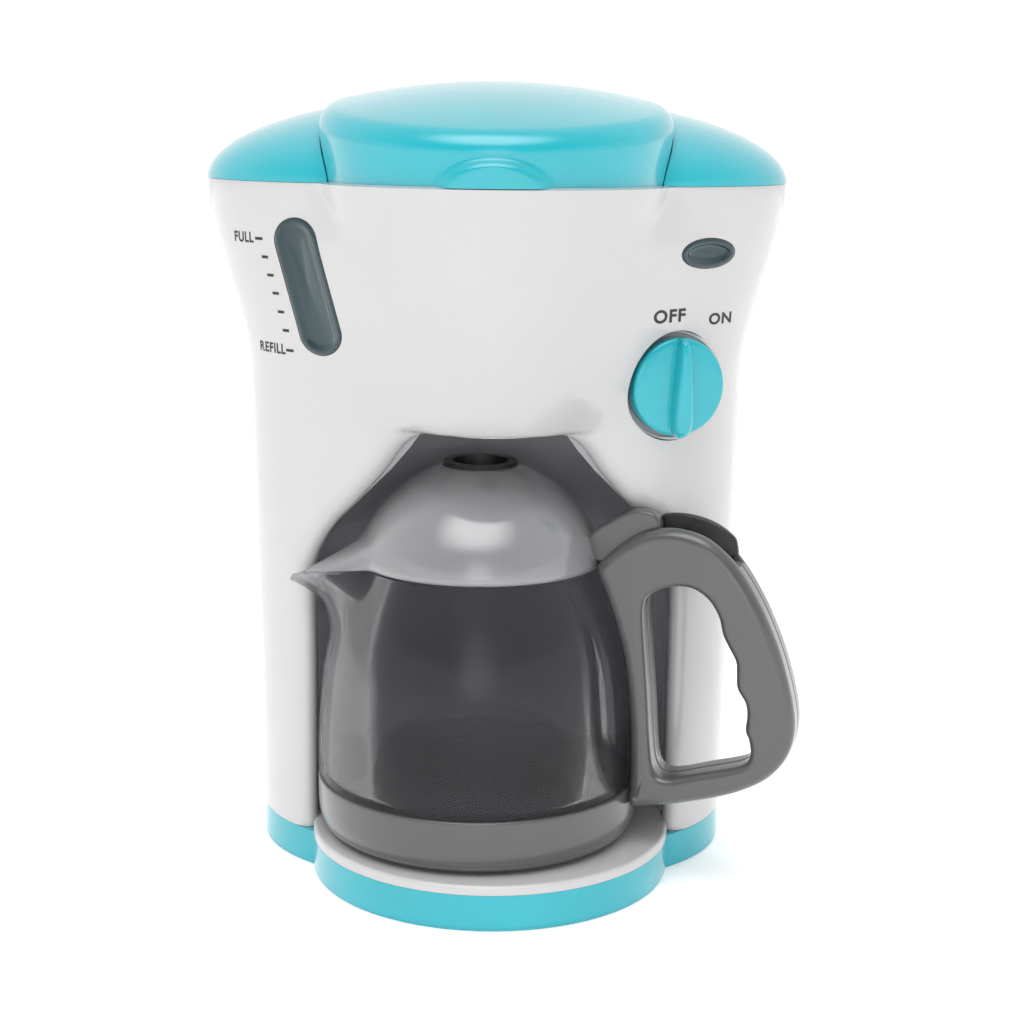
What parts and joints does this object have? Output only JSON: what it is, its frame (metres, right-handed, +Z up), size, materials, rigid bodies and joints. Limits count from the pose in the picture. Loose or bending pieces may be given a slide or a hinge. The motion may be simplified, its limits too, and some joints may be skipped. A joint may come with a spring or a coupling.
{
  "type": "toy coffee maker",
  "caption": "Toy drip coffee maker: moulded housing with flip-up tank lid, sight window, lamp, turn knob and drain valve, and a smoke-clear jug with hinged lid in its cave.",
  "frame": {"origin": "on the plane that the tray's rim stands on, in the middle of the width, where the front and rear halves of the housing meet", "axes": "+Z up, -Y is the front with the jug, +X is the viewer's right when looking at the front"},
  "size_m": [0.1909, 0.1607, 0.2528],
  "materials": {
    "turquoise_plastic": "glossy moulded ABS",
    "natural_plastic": "uncoloured polypropylene",
    "battery_jacket": "printed film jacket, plain",
    "steel": "zinc-plated wire and sheet",
    "white_plastic": "glossy moulded ABS",
    "liner_plastic": "fine satin moulding",
    "seal_rubber": "moulded rubber",
    "black_plastic": "satin moulding",
    "window_clear_plastic": "dark teal clear plastic",
    "lamp_red": "tinted clear epoxy",
    "board": "glass-fibre board with solder mask",
    "smoke_clear_plastic": "clear smoke-tinted polystyrene",
    "grey_plastic": "metallic grey satin moulding"
  },
  "bodies": {
    "housing": {"base_tray": "turquoise_plastic", "battery_box": "natural_plastic", "batteries": "battery_jacket", "battery_contacts": "steel", "battery_door": "white_plastic", "battery_door_screw": "steel", "front_housing": "white_plastic", "rear_cover": "white_plastic", "cave_liner": "liner_plastic", "top_cover": "turquoise_plastic", "lid_hinge_pin": "steel", "water_tank": "natural_plastic", "tank_seal": "seal_rubber", "valve_body": "natural_plastic", "drip_tube": "natural_plastic", "drip_nozzle": "black_plastic", "sight_window": "window_clear_plastic", "indicator_lens": "window_clear_plastic", "indicator_led": "lamp_red", "circuit_board": "board", "leaf_switch": "black_plastic", "board_screws": "steel", "housing_screws": "steel", "tray_screws": "steel"},
    "lid": {"lid": "turquoise_plastic"},
    "knob": {"knob": "turquoise_plastic", "valve_rotor": "natural_plastic", "knob_screw": "steel"},
    "jug": {"jug_body": "smoke_clear_plastic", "jug_band": "grey_plastic", "handle_near_half": "grey_plastic", "handle_far_half": "grey_plastic", "handle_screws": "steel", "jug_hinge_pin": "steel"},
    "jug_lid": {"jug_lid": "smoke_clear_plastic", "thumb_lever": "grey_plastic", "drip_insert": "black_plastic"}
  },
  "joints": [
    {"name": "lid_hinge", "type": "hinge", "parent": "housing", "child": "lid", "pos_m": [0, 0.009, 0.2485], "axis": [-1, 0, 0], "range_deg": [0, 75]},
    {"name": "knob_turn", "type": "hinge", "parent": "housing", "child": "knob", "pos_m": [0.055, -0.04094, 0.161], "axis": [0.342, -0.9397, 0], "range_deg": [-45, 0]},
    {"name": "jug_slide", "type": "slide", "parent": "housing", "child": "jug", "axis": [0, -1, 0], "range_m": [0, 0.2]},
    {"name": "jug_lid_hinge", "type": "hinge", "parent": "jug", "child": "jug_lid", "pos_m": [0.0417, -0.04703, 0.1091], "axis": [0.2924, 0.9563, 0], "range_deg": [0, 50]}
  ],
  "couplings": [
    {"joint": "jug_lid_hinge", "follows": "jug_slide", "rad_per_m": 4.36}
  ]
}
